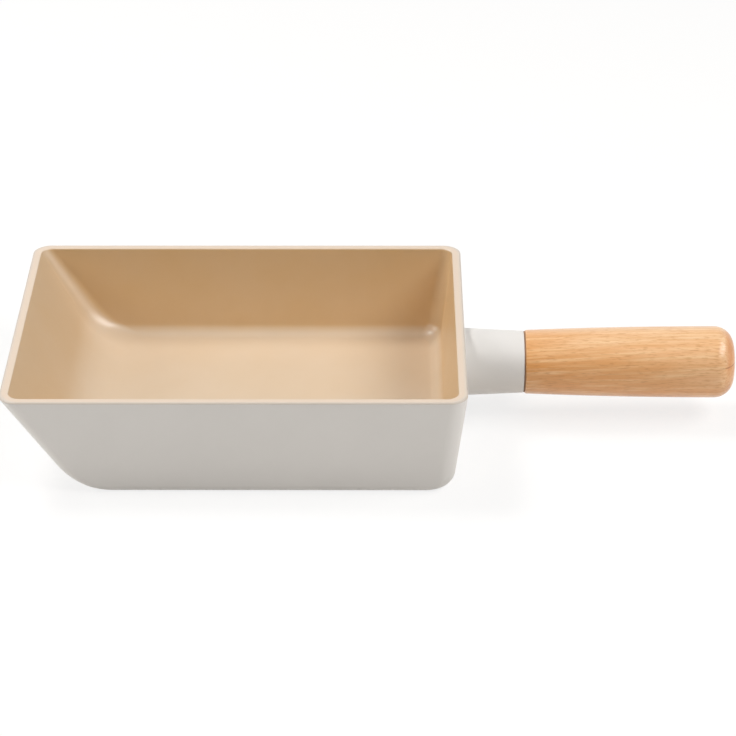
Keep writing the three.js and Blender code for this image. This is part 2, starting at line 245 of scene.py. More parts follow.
def extrude_level(piece, before, after):
    rise = after.height - before.height
    bpy.ops.mesh.extrude_region_move(TRANSFORM_OT_translate={"value": (0, 0, rise)})
    ring = picked(piece)
    mesh = bmesh.from_edit_mesh(piece.data)
    mesh.verts.ensure_lookup_table()
    middle = (before.far + before.near) / 2
    sides = {i: (mesh.verts[i].co.x > middle, mesh.verts[i].co.y > 0) for i in ring}
    for corner in ((False, False), (False, True), (True, False), (True, True)):
        old_radius, old = corner_of(before, *corner)
        new_radius, new = corner_of(after, *corner)
        pick(piece, [i for i in ring if sides[i] == corner])
        if abs(new_radius - old_radius) > 1e-9:
            growth = new_radius / old_radius
            bpy.ops.transform.resize(value=(growth, growth, 1), center_override=(*old, after.height))
        bpy.ops.transform.translate(value=(new[0] - old[0], new[1] - old[1], 0))
    pick(piece, ring)
    return ring


def draw_up(name, levels):
    piece = start_outline(name, levels[0])
    rings = [picked(piece)]
    for before, after in zip(levels, levels[1:]):
        rings.append(extrude_level(piece, before, after))
    return piece, rings


def close_flat(piece, ring, margin):
    pick(piece, ring)
    bpy.ops.mesh.edge_face_add()
    if margin:
        bpy.ops.mesh.inset(thickness=margin)


# Pieces turned on the axis of the handle, drawn along +X from rings of (along, radius)

def turn_piece(name, outline, sides):
    clear_selection()
    along, radius = outline[0]
    bpy.ops.mesh.primitive_circle_add(vertices=sides, radius=radius, location=(0, 0, along))
    piece = bpy.context.object
    piece.name = name
    settle(piece)
    edit(piece)
    bpy.ops.mesh.select_all(action="SELECT")
    rings = [picked(piece)]
    for (from_along, from_radius), (to_along, to_radius) in zip(outline, outline[1:]):
        move = {"value": (0, 0, to_along - from_along)}
        bpy.ops.mesh.extrude_region_move(TRANSFORM_OT_translate=move)
        growth = to_radius / from_radius
        bpy.ops.transform.resize(value=(growth, growth, 1), center_override=(0, 0, to_along))
        rings.append(picked(piece))
    return piece, rings


def lay_along_handle(piece):
    take_up(piece)
    piece.rotation_euler = (0, math.radians(90), 0)
    piece.location = (0, 0, AXIS_HEIGHT)
    settle(piece)


# Shape of the pan

def wall_inset(lean, bend, top, height):
    bend_top = bend * (1 - math.sin(lean))
    if height >= bend_top:
        return math.tan(lean) * (top - height)
    bend_middle = math.tan(lean) * (top - bend_top) + bend * math.cos(lean)
    return bend_middle - math.sqrt(bend ** 2 - (bend - height) ** 2)


OUTSIDE = ((FAR_LEAN, FAR_BEND), (NEAR_LEAN, NEAR_BEND), (SIDE_LEAN, SIDE_BEND))
INSIDE = ((FAR_LEAN_INSIDE, FAR_BEND_INSIDE), (NEAR_LEAN, NEAR_BEND_INSIDE), (SIDE_LEAN, SIDE_BEND_INSIDE))
OUTER_WALL_TOP = RIM_TOP - RIM_OUTER_ROUND - BASE
INNER_WALL_TOP = RIM_TOP - RIM_INNER_ROUND - INNER_FLOOR


def bend_heights(walls, steps):
    heights = [0.0]
    tops = []
    for lean, bend in walls:
        quarter = math.pi / 2 - lean
        tops.append(bend * (1 - math.cos(quarter)))
        heights += [bend * (1 - math.cos(step / steps * quarter)) for step in range(1, steps + 1)]
    heights.append(max(tops) + 0.0015)
    kept = [0.0]
    for height in sorted(heights):
        if height - kept[-1] > LEAST_RING_STEP:
            kept.append(height)
    return kept


def level_at(height, insets, far_corner, near_corner):
    far, near, side = insets
    return Level(height, FAR_RIM + far, NEAR_RIM - near, HALF_WIDTH - side, far_corner, near_corner)


def outer_wall_levels():
    levels = []
    for height in bend_heights(OUTSIDE, BEND_STEPS):
        insets = [wall_inset(lean, bend, OUTER_WALL_TOP, height) for lean, bend in OUTSIDE]
        levels.append(level_at(BASE + height, insets, CORNER, CORNER))
    return levels


def rim_level(drop, inset):
    share = inset / RIM_THICKNESS
    corner = CORNER + (CORNER_INSIDE - CORNER) * share
    return level_at(RIM_TOP - drop, (inset, inset, inset), corner, corner)


def outer_rounding(degrees):
    angle = math.radians(degrees)
    return rim_level(RIM_OUTER_ROUND * (1 - math.sin(angle)), RIM_OUTER_ROUND * (1 - math.cos(angle)))


def cooking_surface_levels(depth, steps):
    levels = []
    for degrees in (0, 22, 45, 67, 90):
        angle = math.radians(degrees)
        inset = RIM_THICKNESS - RIM_INNER_ROUND * (1 - math.sin(angle))
        levels.append(rim_level(depth + RIM_INNER_ROUND * (1 - math.cos(angle)), inset - depth))
    for height in reversed(bend_heights(INSIDE, steps)):
        insets = [
            RIM_THICKNESS - depth + wall_inset(lean, bend, INNER_WALL_TOP, height) for lean, bend in INSIDE
        ]
        share = height / INNER_WALL_TOP
        corners = [
            at_floor + (CORNER_INSIDE - at_floor) * share for at_floor in (FAR_FLOOR_CORNER, NEAR_FLOOR_CORNER)
        ]
        levels.append(level_at(INNER_FLOOR + height - depth, insets, *corners))
    return levels


def model_neck():
    root = NEAR_RIM - math.tan(NEAR_LEAN) * (RIM_TOP - RIM_OUTER_ROUND - AXIS_HEIGHT)
    outline = [(NECK_END, NECK_END_RADIUS - NECK_END_BEVEL)]
    outline.append((NECK_END - NECK_END_BEVEL * 0.3, NECK_END_RADIUS - NECK_END_BEVEL * 0.3))
    outline.append((NECK_END - NECK_END_BEVEL, NECK_END_RADIUS))
    upright = len(outline)
    for degrees in range(0, 91, 10):
        angle = math.radians(degrees)
        out = NECK_ROOT_FILLET * (1 - math.sin(angle))
        outline.append((root + out, NECK_ROOT_RADIUS + NECK_ROOT_FILLET * (1 - math.cos(angle))))
    outline.append((root - NECK_SINK, NECK_ROOT_RADIUS + NECK_ROOT_FILLET))
    neck, rings = turn_piece("neck", outline, ROUND_SIDES)
    close_flat(neck, rings[0], 0)
    close_flat(neck, rings[-1], 0)
    for (along, _), ring in zip(outline[upright:], rings[upright:]):
        pick(neck, ring)
        bpy.ops.transform.rotate(value=-NEAR_LEAN, orient_axis="Y", center_override=(0, 0, along))
    lay_along_handle(neck)
    clean_up(neck, 40)
    return neck


def square_bar(name, start, end, side, corner):
    clear_selection()
    bpy.ops.mesh.primitive_cube_add(size=1, location=((start + end) / 2, 0, AXIS_HEIGHT))
    bar = bpy.context.object
    bar.name = name
    bpy.ops.transform.resize(value=(end - start, side, side))
    settle(bar)
    edit(bar)
    pick_edges(bar, lambda edge: abs(edge.verts[0].co.x - edge.verts[1].co.x) > (end - start) / 2)
    bpy.ops.mesh.bevel(offset=corner, segments=4, affect="EDGES")
    clear_selection()
    return bar


def round_bar(name, start, end, radius, sides):
    bar, rings = turn_piece(name, [(start, radius), (end, radius)], sides)
    close_flat(bar, rings[0], 0)
    close_flat(bar, rings[-1], 0)
    lay_along_handle(bar)
    clean_up(bar, 40)
    return bar


def model_pan_body(material):
    levels = outer_wall_levels()
    levels += [outer_rounding(degrees) for degrees in range(0, COAT_EDGE_ANGLE + 1, 15)]
    edge = levels[-1]
    levels.append(edge._replace(height=edge.height - COAT_LEDGE))
    levels += cooking_surface_levels(COAT_LEDGE, HIDDEN_BEND_STEPS)
    body, rings = draw_up("pan_body_cast", levels)
    close_flat(body, rings[0], 0.003)
    close_flat(body, rings[-1], 0.003)
    clean_up(body, 40)
    join_shapes(body, model_neck(), "UNION")
    tenon = square_bar("tenon", NECK_END - 0.003, NECK_END + TENON_LENGTH, TENON_SIDE, TENON_CORNER)
    join_shapes(body, tenon, "UNION")
    bore_start = NECK_END + TENON_LENGTH - INSERT_BORE_DEPTH
    bore = round_bar("insert_bore", bore_start, NECK_END + 2 * TENON_LENGTH, INSERT_BORE_RADIUS, SMALL_SIDES)
    join_shapes(body, bore, "DIFFERENCE")
    clear_selection()
    pocket_radius = PLATE_HIGH[0] + PLATE_POCKET_GAP
    bpy.ops.mesh.primitive_cylinder_add(
        vertices=ROUND_SIDES, radius=pocket_radius, depth=2 * PLATE_HIGH[2] + 0.0001, location=(0, 0, 0)
    )
    join_shapes(body, bpy.context.object, "DIFFERENCE")
    clean_up(body, 35)
    apply_modifier(body, "WEIGHTED_NORMAL", mode="FACE_AREA", weight=50, keep_sharp=True)
    put_in_place(body, "outer_coat", material, "pan_body")
    return body


def model_lining(material):
    levels = [outer_rounding(degrees) for degrees in (COAT_EDGE_ANGLE, 82, 90)]
    levels += cooking_surface_levels(0, BEND_STEPS)
    lining, rings = draw_up("cooking_surface", levels)
    close_flat(lining, rings[-1], 0.003)
    clean_up(lining, 50)
    apply_modifier(lining, "SOLIDIFY", thickness=COAT_THICKNESS, offset=-1, use_even_offset=True)
    take_up(lining)
    bpy.ops.object.shade_smooth_by_angle(angle=math.radians(50))
    apply_modifier(lining, "WEIGHTED_NORMAL", mode="FACE_AREA", weight=50, keep_sharp=True)
    put_in_place(lining, "inner_coat", material, "ceramic_lining")
    return lining


def model_grip(material):
    front, end = GRIP_LOW[0], GRIP_HIGH[0]
    outline = [(front, GRIP_FRONT_RADIUS - GRIP_FRONT_BEVEL)]
    round_start = end - GRIP_END_ROUND
    first = front + GRIP_FRONT_BEVEL
    for step in range(0, 25):
        share = step / 24
        swell = 1 - (1 - share) ** 2
        radius = GRIP_FRONT_RADIUS + (GRIP_RADIUS - GRIP_FRONT_RADIUS) * swell
        outline.append((first + (round_start - first) * share, radius))
    for step in range(1, 13):
        angle = math.radians(90) * step / 12
        outline.append(
            (round_start + GRIP_END_ROUND * math.sin(angle), GRIP_RADIUS - GRIP_END_ROUND * (1 - math.cos(angle)))
        )
    outline.append((end, BORE_RADIUS + BORE_BEVEL))
    outline.append((end - BORE_BEVEL * 0.3, BORE_RADIUS + BORE_BEVEL * 0.3))
    outline.append((end - BORE_BEVEL, BORE_RADIUS))
    outline.append((BORE_FLOOR, BORE_RADIUS))
    outline.append((BORE_FLOOR, SCREW_HOLE_RADIUS))
    outline.append((front, SCREW_HOLE_RADIUS))
    grip, rings = turn_piece("turned_grip", outline, ROUND_SIDES)
    pick(grip, rings[0] + rings[-1])
    bpy.ops.mesh.bridge_edge_loops()
    lay_along_handle(grip)
    clean_up(grip, 40)
    socket_end = NECK_END + TENON_LENGTH + SOCKET_CLEARANCE
    side = TENON_SIDE + 2 * SOCKET_CLEARANCE
    socket = square_bar("socket", front - 0.002, socket_end, side, TENON_CORNER + SOCKET_CLEARANCE)
    join_shapes(grip, socket, "DIFFERENCE")
    clean_up(grip, 40)
    apply_modifier(grip, "WEIGHTED_NORMAL", mode="FACE_AREA", weight=50, keep_sharp=True)
    put_in_place(grip, "grip_wood", material, "wooden_grip")
    return grip


def model_gasket(material):
    start, end = GASKET_LOW[0], GASKET_HIGH[0]
    radius = (GASKET_HIGH[2] - GASKET_LOW[2]) / 2
    edge = (end - start) / 4
    outline = [
        (start, radius - edge), (start + edge * 0.3, radius - edge * 0.3), (start + edge, radius),
        (end - edge, radius), (end - edge * 0.3, radius - edge * 0.3), (end, radius - edge),
    ]
    gasket, rings = turn_piece("heat_stop", outline, ROUND_SIDES)
    close_flat(gasket, rings[0], 0)
    close_flat(gasket, rings[-1], 0)
    lay_along_handle(gasket)
    clean_up(gasket, 50)
    hole_side = TENON_SIDE + 2 * SOCKET_CLEARANCE
    hole = square_bar("gasket_hole", start - 0.001, end + 0.001, hole_side, TENON_CORNER + SOCKET_CLEARANCE)
    join_shapes(gasket, hole, "DIFFERENCE")
    clean_up(gasket, 50)
    put_in_place(gasket, "gasket", material, "grip_gasket")
    return gasket


# Base plate, with the casting's metal showing flush in its holes

def stud_places():
    radius = PLATE_HIGH[0]
    pitch = (radius - STUD_MARGIN) / STUD_CIRCLES
    places = []
    for circle in range(1, STUD_CIRCLES + 1):
        for step in range(6 * circle):
            angle = 2 * math.pi * step / (6 * circle)
            places.append((circle * pitch * math.cos(angle), circle * pitch * math.sin(angle)))
    return places


def copies_joined(first, places):
    copies = []
    for x, y in places:
        copy = first.copy()
        copy.data = first.data.copy()
        bpy.context.collection.objects.link(copy)
        copy.location = (x, y, 0)
        copies.append(copy)
    take_up(first)
    bpy.ops.object.delete()
    clear_selection()
    for copy in copies:
        copy.select_set(True)
    bpy.context.view_layer.objects.active = copies[0]
    bpy.ops.object.join()
    bpy.ops.object.transform_apply(location=True, rotation=True, scale=True)
    return bpy.context.object


def model_plate(material):
    top, radius = PLATE_HIGH[2], PLATE_HIGH[0]
    bevel = PLATE_EDGE_BEVEL
    outline = [(0, radius - bevel), (bevel * 0.3, radius - bevel * 0.3), (bevel, radius), (top, radius)]
    plate, rings = turn_piece("base_plate", outline, ROUND_SIDES)
    close_flat(plate, rings[0], 0)
    close_flat(plate, rings[-1], 0)
    clean_up(plate, 30)
    drill, drill_rings = turn_piece("drill", [(-top, STUD_RADIUS), (2 * top, STUD_RADIUS)], SMALL_SIDES)
    close_flat(drill, drill_rings[0], 0)
    close_flat(drill, drill_rings[-1], 0)
    clean_up(drill, 30)
    join_shapes(plate, copies_joined(drill, stud_places()), "DIFFERENCE")
    clean_up(plate, 30)
    put_in_place(plate, "base_steel", material, "induction_plate")
    return plate


def model_studs(material):
    top = PLATE_HIGH[2]
    edge = STUD_RADIUS - 0.00003
    outline = [(top, edge), (0.0001, edge), (0.00004, edge * 0.93), (STUD_DISH, edge * 0.6), (STUD_DISH, edge * 0.2)]
    stud, rings = turn_piece("stud", outline, SMALL_SIDES)
    close_flat(stud, rings[0], 0)
    close_flat(stud, rings[-1], 0)
    clean_up(stud, 50)
    studs = copies_joined(stud, stud_places())
    studs.name = "base_studs"
    put_in_place(studs, "base_steel", material)
    return studs


# Finishes

def srgb(red, green, blue):
    def linear(value):
        value /= 255
        return value / 12.92 if value <= 0.04045 else ((value + 0.055) / 1.055) ** 2.4
    return linear(red), linear(green), linear(blue), 1.0


# Inner coat tones: the level floor's lit tone and a darker, more saturated tone for the steep walls, which is
# painted shade
LIT_FLOOR_TONE = srgb(219, 196, 167)
SHADED_WALL_TONE = srgb(213, 179, 132)
RIM_TONE = srgb(227, 206, 184)
RIM_EDGE_TONE = srgb(216, 202, 187)
OVERSPRAY_SHADE_TONE = srgb(211, 198, 184)  # the inner coat's beige carried down the rim's outer rounding, darkened there as painted shade
WOOD_PALE = srgb(245, 206, 162)
WOOD_HONEY = srgb(241, 187, 133)
# More saturated copies of the pale and honey tones for the grip's underside: painted shade
WOOD_SHADED_LOW_PALE = srgb(250, 198, 146)
WOOD_SHADED_LOW_HONEY = srgb(244, 181, 124)
WOOD_HEART = srgb(226, 155, 82)
WOOD_BROWN = srgb(226, 166, 104)
WOOD_PORE = srgb(204, 138, 76)
WOOD_LIGHT = srgb(253, 214, 164)
WOOD_END = srgb(206, 124, 58)
WOOD_END_PALE = srgb(224, 150, 80)
WOOD_CHECK = srgb(160, 92, 48)
PITH_TURN = (0, math.radians(2.5), math.radians(-1.5))
PITH_SHIFT = (0, -0.02, 0.004)
HEART_SIDE = (-0.25, -0.15, -1.0)  # which way the darker heartwood lies
CHECK_HEIGHT = 0.0044  # of a fine check in the grip's end, above the axis
CHECK_WIDTH = 0.0006


def new_material(name):
    material = bpy.data.materials.new(name)
    material.use_nodes = True
    nodes, links = material.node_tree.nodes, material.node_tree.links
    return material, nodes, links, nodes["Principled BSDF"]


def add_node(nodes, kind, **settings):
    node = nodes.new(kind)
    for name, value in settings.items():
        setattr(node, name, value)
    return node


def noise(nodes, links, vector, scale, detail=3, roughness=0.5):
    node = nodes.new("ShaderNodeTexNoise")
    node.inputs["Scale"].default_value = scale
    node.inputs["Detail"].default_value = detail
    node.inputs["Roughness"].default_value = roughness
    links.new(vector, node.inputs["Vector"])
    return node.outputs["Fac"]


def spread(nodes, links, value, low, high, to_low, to_high):
    node = nodes.new("ShaderNodeMapRange")
    for name, number in zip(("From Min", "From Max", "To Min", "To Max"), (low, high, to_low, to_high)):
        node.inputs[name].default_value = number
    links.new(value, node.inputs["Value"])
    return node.outputs["Result"]


def mix_colours(nodes, links, share, first, second):
    node = add_node(nodes, "ShaderNodeMix", data_type="RGBA")
    for socket, value in ((node.inputs["Factor"], share), (node.inputs["A"], first), (node.inputs["B"], second)):
        if isinstance(value, bpy.types.NodeSocket):
            links.new(value, socket)
        else:
            socket.default_value = value
    return node.outputs["Result"]


def add_bump(nodes, links, height, shader, strength, distance):
    bump = nodes.new("ShaderNodeBump")
    bump.inputs["Strength"].default_value = strength
    bump.inputs["Distance"].default_value = distance
    links.new(height, bump.inputs["Height"])
    links.new(bump.outputs["Normal"], shader.inputs["Normal"])


def new_group(name, inputs, outputs):
    group = bpy.data.node_groups.new(name, "ShaderNodeTree")
    for socket, kind in inputs:
        group.interface.new_socket(socket, in_out="INPUT", socket_type=kind)
    for socket, kind in outputs:
        group.interface.new_socket(socket, in_out="OUTPUT", socket_type=kind)
    start = group.nodes.new("NodeGroupInput")
    end = group.nodes.new("NodeGroupOutput")
    return group, group.nodes, group.links, start.outputs, end.inputs


def place_group(nodes, links, group, vector):
    node = nodes.new("ShaderNodeGroup")
    node.node_tree = group
    links.new(vector, node.inputs["Vector"])
    return node


def object_place(nodes):
    return nodes.new("ShaderNodeTexCoord").outputs["Object"]


def stretched(nodes, links, vector, scale, turn=(0, 0, 0), shift=(0, 0, 0)):
    node = nodes.new("ShaderNodeMapping")
    node.inputs["Scale"].default_value = scale
    node.inputs["Rotation"].default_value = turn
    node.inputs["Location"].default_value = shift
    links.new(vector, node.inputs["Vector"])
    return node.outputs["Vector"]


def calculate(nodes, links, operation, first, second):
    node = add_node(nodes, "ShaderNodeMath", operation=operation)
    for socket, value in zip(node.inputs, (first, second)):
        if isinstance(value, bpy.types.NodeSocket):
            links.new(value, socket)
        else:
            socket.default_value = value
    return node.outputs["Value"]


# Fired coat: fine ripple of the sprayed surface and slow drift of its tone
def fired_coat_group():
    group, nodes, links, given, wanted = new_group(
        "fired_coat", [("Vector", "NodeSocketVector")],
        [("Ripple", "NodeSocketFloat"), ("Drift", "NodeSocketFloat")],
    )
    ripple = noise(nodes, links, given["Vector"], 900, detail=2)
    links.new(ripple, wanted["Ripple"])
    drift = noise(nodes, links, given["Vector"], 28, detail=4, roughness=0.6)
    links.new(spread(nodes, links, drift, 0.3, 0.7, 0, 1), wanted["Drift"])
    return group


# How far a place lies outside the inner edge of the rim, seen from above
def rim_distance_group():
    group, nodes, links, given, wanted = new_group(
        "rim_distance", [("Vector", "NodeSocketVector")], [("Distance", "NodeSocketFloat")]
    )
    place = nodes.new("ShaderNodeSeparateXYZ")
    links.new(given["Vector"], place.inputs["Vector"])
    inner = RIM_THICKNESS + CORNER_INSIDE
    past_side = []
    for axis, middle, half in (("X", (FAR_RIM + NEAR_RIM) / 2, RIM_LENGTH / 2), ("Y", 0, HALF_WIDTH)):
        off = calculate(nodes, links, "SUBTRACT", place.outputs[axis], middle)
        off = calculate(nodes, links, "ABSOLUTE", off, 0)
        past_side.append(calculate(nodes, links, "SUBTRACT", off, half - inner))
    outside = [calculate(nodes, links, "MAXIMUM", past, 0) for past in past_side]
    squares = [calculate(nodes, links, "POWER", past, 2) for past in outside]
    round_corner = calculate(nodes, links, "SQRT", calculate(nodes, links, "ADD", *squares), 0)
    links.new(calculate(nodes, links, "SUBTRACT", round_corner, CORNER_INSIDE), wanted["Distance"])
    return group


def outer_coat_finish(coat):
    material, nodes, links, shader = new_material("pale satin coat")
    place = object_place(nodes)
    marks = place_group(nodes, links, coat, place)
    tone = mix_colours(nodes, links, marks.outputs["Drift"], srgb(231, 227, 222), srgb(234, 230, 225))
    height = nodes.new("ShaderNodeSeparateXYZ")
    links.new(place, height.inputs["Vector"])
    # Painted shade: the lower part of the rim's outer rounding takes a darker beige tone, so it reads no brighter
    # than the wall below
    overspray_shade = spread(nodes, links, height.outputs["Z"], RIM_TOP - 0.0008, RIM_TOP - 0.0004, 0, 1)
    tone = mix_colours(nodes, links, overspray_shade, tone, OVERSPRAY_SHADE_TONE)
    links.new(tone, shader.inputs["Base Color"])
    links.new(spread(nodes, links, marks.outputs["Ripple"], 0.3, 0.7, 0.36, 0.44), shader.inputs["Roughness"])
    add_bump(nodes, links, marks.outputs["Ripple"], shader, 0.12, 0.00012)
    return material


def inner_coat_finish(coat):
    material, nodes, links, shader = new_material("beige cooking coat")
    place = object_place(nodes)
    marks = place_group(nodes, links, coat, place)
    rim = place_group(nodes, links, rim_distance_group(), place).outputs["Distance"]
    lie = nodes.new("ShaderNodeSeparateXYZ")
    links.new(nodes.new("ShaderNodeTexCoord").outputs["Normal"], lie.inputs["Vector"])
    # Painted shade: the steeper the surface, the more it takes the darker wall tone in place of the lit floor tone
    lit_floor_share = spread(nodes, links, lie.outputs["Z"], 0.3, 0.78, 0, 1)
    tone = mix_colours(nodes, links, lit_floor_share, SHADED_WALL_TONE, LIT_FLOOR_TONE)
    tone = mix_colours(nodes, links, spread(nodes, links, marks.outputs["Drift"], 0, 1, 0, 0.06), tone, (1, 1, 1, 1))
    tone = mix_colours(nodes, links, spread(nodes, links, rim, 0, 0.0007, 0, 1), tone, RIM_TONE)
    tone = mix_colours(nodes, links, spread(nodes, links, rim, 0.0022, 0.0036, 0, 1), tone, RIM_EDGE_TONE)
    links.new(tone, shader.inputs["Base Color"])
    links.new(spread(nodes, links, marks.outputs["Ripple"], 0.3, 0.7, 0.29, 0.35), shader.inputs["Roughness"])
    shader.inputs["Specular IOR Level"].default_value = 0.8
    add_bump(nodes, links, marks.outputs["Ripple"], shader, 0.03, 0.0001)
    return material


# Wood: bands and growth rings round a pith that lies askew outside the grip, fine fibres and short pores
def wood_finish():
    material, nodes, links, shader = new_material("varnished light wood")
    place = object_place(nodes)
    along = nodes.new("ShaderNodeSeparateXYZ")
    links.new(place, along.inputs["Vector"])
    askew = stretched(nodes, links, place, (1, 1, 1), turn=PITH_TURN, shift=PITH_SHIFT)
    sway = noise(nodes, links, stretched(nodes, links, place, (11, 60, 60)), 1.0, detail=2)
    from_pith = add_node(nodes, "ShaderNodeVectorMath", operation="LENGTH")
    links.new(stretched(nodes, links, askew, (0, 1, 1)), from_pith.inputs[0])
    ring_place = calculate(nodes, links, "MULTIPLY_ADD", sway, 0.006)
    links.new(from_pith.outputs["Value"], ring_place.node.inputs[2])
    ring_line = nodes.new("ShaderNodeCombineXYZ")
    links.new(ring_place, ring_line.inputs["X"])
    rings = noise(nodes, links, ring_line.outputs["Vector"], 520, detail=2, roughness=0.6)
    bands = noise(nodes, links, stretched(nodes, links, askew, (7, 210, 210)), 1.0, detail=1)
    fibres = noise(nodes, links, stretched(nodes, links, place, (26, 1100, 1100)), 1.0, detail=3, roughness=0.6)
    light_fibres = noise(nodes, links, stretched(nodes, links, askew, (20, 800, 800)), 1.0, detail=2)
    pores = noise(nodes, links, stretched(nodes, links, place, (260, 1900, 1900)), 1.0, detail=2)
    growth = calculate(nodes, links, "ADD", calculate(nodes, links, "MULTIPLY", bands, 0.6), rings)
    ring_share = spread(nodes, links, growth, 0.62, 0.98, 0, 1)
    upper = mix_colours(nodes, links, ring_share, WOOD_PALE, WOOD_HONEY)
    lower = mix_colours(nodes, links, ring_share, WOOD_SHADED_LOW_PALE, WOOD_SHADED_LOW_HONEY)
    # Painted shade: the grip turns to the more saturated lower tones towards its underside
    height = calculate(nodes, links, "MULTIPLY_ADD", sway, 0.012)
    links.new(along.outputs["Z"], height.node.inputs[2])
    low, high = AXIS_HEIGHT - 0.004, AXIS_HEIGHT + 0.02
    tone = mix_colours(nodes, links, spread(nodes, links, height, low, high, 1, 0), upper, lower)
    towards_heart = add_node(nodes, "ShaderNodeVectorMath", operation="DOT_PRODUCT")
    links.new(place, towards_heart.inputs[0])
    towards_heart.inputs[1].default_value = HEART_SIDE
    heart = calculate(nodes, links, "MULTIPLY_ADD", sway, 0.02)
    links.new(towards_heart.outputs["Value"], heart.node.inputs[2])
    grip_front = HEART_SIDE[0] * GRIP_LOW[0] + HEART_SIDE[2] * AXIS_HEIGHT
    heart_share = spread(nodes, links, heart, grip_front - 0.010, grip_front + 0.004, 0, 1)
    less_below = spread(nodes, links, along.outputs["Z"], AXIS_HEIGHT - 0.006, AXIS_HEIGHT + 0.003, 0.6, 1)
    heart_share = calculate(nodes, links, "MULTIPLY", heart_share, less_below)
    tone = mix_colours(nodes, links, heart_share, tone, WOOD_HEART)
    tone = mix_colours(nodes, links, spread(nodes, links, fibres, 0.42, 0.68, 0, 0.7), tone, WOOD_BROWN)
    tone = mix_colours(nodes, links, spread(nodes, links, light_fibres, 0.48, 0.7, 0, 0.5), tone, WOOD_LIGHT)
    tone = mix_colours(nodes, links, spread(nodes, links, pores, 0.52, 0.72, 0, 0.6), tone, WOOD_PORE)
    end_grain = spread(nodes, links, along.outputs["X"], GRIP_HIGH[0] - 0.005, GRIP_HIGH[0] - 0.003, 0, 0.7)
    above_check = calculate(nodes, links, "SUBTRACT", along.outputs["Z"], AXIS_HEIGHT + CHECK_HEIGHT)
    end_share = calculate(
        nodes, links, "MULTIPLY", end_grain, spread(nodes, links, above_check, -0.007, 0.001, 0.4, 1)
    )
    end_tone = mix_colours(nodes, links, ring_share, WOOD_END_PALE, WOOD_END)
    tone = mix_colours(nodes, links, end_share, tone, end_tone)
    wavering = calculate(nodes, links, "MULTIPLY_ADD", pores, CHECK_WIDTH)
    links.new(above_check, wavering.node.inputs[2])
    near_check = calculate(nodes, links, "ABSOLUTE", wavering, 0)
    check = spread(nodes, links, near_check, CHECK_WIDTH / 4, CHECK_WIDTH / 2, 0.6, 0)
    check_end = spread(nodes, links, along.outputs["X"], GRIP_HIGH[0] - 0.008, GRIP_HIGH[0] - 0.004, 0, 1)
    check_reach = spread(nodes, links, along.outputs["Y"], -0.009, -0.006, 1, 0)
    check = calculate(nodes, links, "MULTIPLY", check, calculate(nodes, links, "MULTIPLY", check_end, check_reach))
    tone = mix_colours(nodes, links, check, tone, WOOD_CHECK)
    links.new(tone, shader.inputs["Base Color"])
    links.new(spread(nodes, links, fibres, 0.3, 0.7, 0.3, 0.38), shader.inputs["Roughness"])
    shader.inputs["Coat Weight"].default_value = 0.35
    shader.inputs["Coat Roughness"].default_value = 0.22
    add_bump(nodes, links, pores, shader, 0.1, 0.0001)
    return material


def gasket_finish():
    material, nodes, links, shader = new_material("dark heat stop")
    grain = noise(nodes, links, object_place(nodes), 1800, detail=2)
    tone = mix_colours(nodes, links, grain, srgb(150, 114, 84), srgb(170, 132, 100))
    links.new(tone, shader.inputs["Base Color"])
    links.new(spread(nodes, links, grain, 0.3, 0.7, 0.6, 0.8), shader.inputs["Roughness"])
    add_bump(nodes, links, grain, shader, 0.3, 0.0001)
    return material


# Lines left by a tool that turned or brushed the metal round an axis
def turned_lines_group():
    group, nodes, links, given, wanted = new_group(
        "turned_lines", [("Vector", "NodeSocketVector")],
        [("Lines", "NodeSocketFloat"), ("Drift", "NodeSocketFloat")],
    )
    length = add_node(nodes, "ShaderNodeVectorMath", operation="LENGTH")
    links.new(given["Vector"], length.inputs[0])
    combine = nodes.new("ShaderNodeCombineXYZ")
    links.new(length.outputs["Value"], combine.inputs["X"])
    lines = noise(nodes, links, combine.outputs["Vector"], 4200, detail=3, roughness=0.7)
    links.new(lines, wanted["Lines"])
    links.new(noise(nodes, links, given["Vector"], 60, detail=3), wanted["Drift"])
    return group


def steel_finish(name, lines_group, flatten, dark, light, roughness):
    material, nodes, links, shader = new_material(name)
    place = stretched(nodes, links, object_place(nodes), flatten[0], shift=flatten[1])
    marks = place_group(nodes, links, lines_group, place)
    tone = mix_colours(nodes, links, marks.outputs["Lines"], dark, light)
    links.new(tone, shader.inputs["Base Color"])
    shader.inputs["Metallic"].default_value = 1.0
    links.new(
        spread(nodes, links, marks.outputs["Drift"], 0.3, 0.7, roughness - 0.06, roughness + 0.06),
        shader.inputs["Roughness"],
    )
    add_bump(nodes, links, marks.outputs["Lines"], shader, 0.15, 0.00006)
    return material


def dress_node(node, material):
    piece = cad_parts[node]
    piece.data.materials.clear()
    piece.data.materials.append(material)


# Studio

